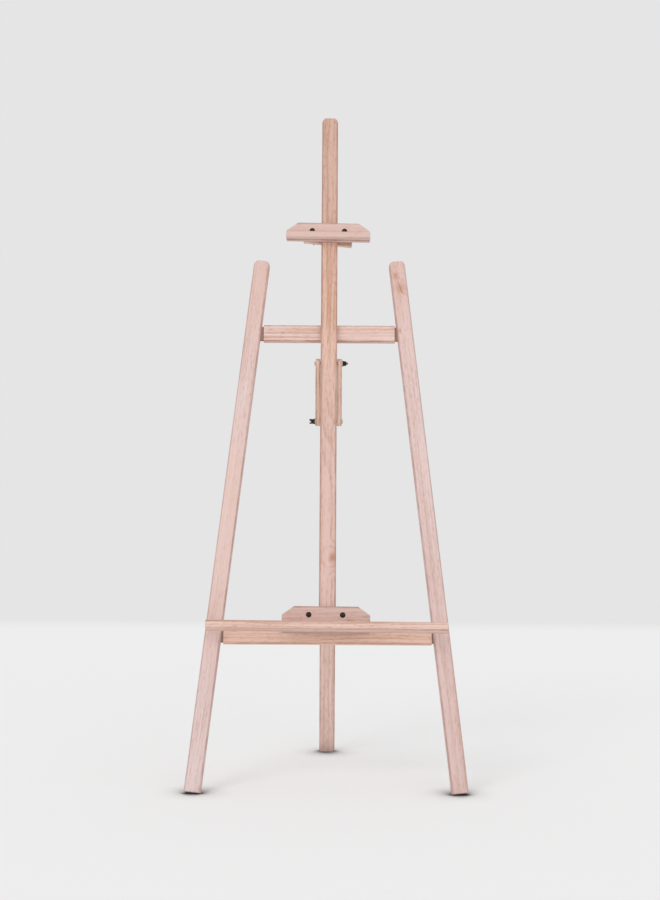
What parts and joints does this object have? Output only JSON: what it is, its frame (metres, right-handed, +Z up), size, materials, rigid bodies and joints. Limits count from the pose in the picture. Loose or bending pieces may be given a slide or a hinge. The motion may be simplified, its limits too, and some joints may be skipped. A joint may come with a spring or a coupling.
{
  "type": "artist's easel",
  "caption": "Folding wooden A-frame easel with a central mast, sliding tray and top holder, and a rear leg on linking slats.",
  "frame": {"origin": "on the floor under the middle of the easel's bounding box, set up for use", "axes": "+Z up, +X to the easel's right seen from the front, -Y to the front, where the painter stands"},
  "size_m": [0.5774, 0.5112, 1.4304],
  "materials": {
    "leg_wood": "bare sanded, matt",
    "rear_leg_wood": "bare sanded, matt",
    "mast_wood": "bare sanded, matt",
    "bar_wood": "bare sanded, matt",
    "block_wood": "bare sanded, matt",
    "link_wood": "bare sanded, matt",
    "ledge_wood": "bare sanded, matt",
    "plate_wood": "bare sanded, matt",
    "clamp_plate_wood": "bare sanded, matt",
    "bolt_metal": "dark bronze, satin",
    "cross_bolt_metal": "zinc plated, satin",
    "washer_metal": "dark bronze, satin",
    "wing_nut_metal": "dark bronze, cast, satin",
    "screw_metal": "zinc plated, satin"
  },
  "bodies": {
    "front_frame": {"left_leg": "leg_wood", "right_leg": "leg_wood", "upper_crossbar": "bar_wood", "lower_rail": "bar_wood", "crossbar_screws": "screw_metal", "mast": "mast_wood", "mast_screws": "screw_metal", "hinge_block": "block_wood", "hinge_block_screws": "screw_metal"},
    "rear_link": {"link_left": "link_wood", "link_right": "link_wood", "link_bolt": "cross_bolt_metal", "link_washer": "cross_bolt_metal", "pivot_bolt": "cross_bolt_metal", "pivot_washer": "cross_bolt_metal"},
    "rear_leg": {"rear_leg": "rear_leg_wood"},
    "tray": {"tray_ledge": "ledge_wood", "tray_plate": "plate_wood", "tray_clamp_plate": "clamp_plate_wood", "tray_bolts": "bolt_metal", "tray_washers": "washer_metal", "tray_screws": "screw_metal"},
    "top_holder": {"top_lip": "ledge_wood", "top_plate": "plate_wood", "top_clamp_plate": "clamp_plate_wood", "top_bolts": "bolt_metal", "top_washers": "washer_metal", "top_screws": "screw_metal"},
    "link_wing_nut": {"link_wing_nut": "wing_nut_metal"},
    "pivot_wing_nut": {"pivot_wing_nut": "wing_nut_metal"},
    "tray_wing_nut_left": {"tray_wing_nut_left": "wing_nut_metal"},
    "tray_wing_nut_right": {"tray_wing_nut_right": "wing_nut_metal"},
    "top_wing_nut_left": {"top_wing_nut_left": "wing_nut_metal"},
    "top_wing_nut_right": {"top_wing_nut_right": "wing_nut_metal"}
  },
  "joints": [
    {"name": "rear_link_fold", "type": "hinge", "parent": "front_frame", "child": "rear_link", "pos_m": [0, -0.00711, 0.88204], "axis": [1, 0, 0], "range_deg": [-23, 6]},
    {"name": "rear_leg_pivot", "type": "hinge", "parent": "rear_link", "child": "rear_leg", "pos_m": [0, 0.02894, 0.75714], "axis": [1, 0, 0], "range_deg": [-7, 20]},
    {"name": "tray_height", "type": "slide", "parent": "front_frame", "child": "tray", "axis": [0, 0.2588, 0.9659], "range_m": [0, 0.33]},
    {"name": "top_holder_height", "type": "slide", "parent": "front_frame", "child": "top_holder", "axis": [0, 0.2588, 0.9659], "range_m": [-0.18, 0.245]},
    {"name": "link_wing_nut_turn", "type": "hinge", "parent": "rear_link", "child": "link_wing_nut", "pos_m": [0.0337, -0.00711, 0.88204], "axis": [1, 0, 0], "continuous": true},
    {"name": "pivot_wing_nut_turn", "type": "hinge", "parent": "rear_link", "child": "pivot_wing_nut", "pos_m": [-0.0337, 0.02894, 0.75714], "axis": [-1, 0, 0], "continuous": true},
    {"name": "tray_wing_nut_left_turn", "type": "hinge", "parent": "tray", "child": "tray_wing_nut_left", "pos_m": [-0.0382, -0.14433, 0.34634], "axis": [0, 0.9659, -0.2588], "continuous": true},
    {"name": "tray_wing_nut_right_turn", "type": "hinge", "parent": "tray", "child": "tray_wing_nut_right", "pos_m": [0.0318, -0.14444, 0.34593], "axis": [0, 0.9659, -0.2588], "continuous": true},
    {"name": "top_wing_nut_left_turn", "type": "hinge", "parent": "top_holder", "child": "top_wing_nut_left", "pos_m": [-0.0375, 0.07369, 1.16003], "axis": [0, 0.9659, -0.2588], "continuous": true},
    {"name": "top_wing_nut_right_turn", "type": "hinge", "parent": "top_holder", "child": "top_wing_nut_right", "pos_m": [0.0325, 0.07344, 1.15908], "axis": [0, 0.9659, -0.2588], "continuous": true}
  ]
}
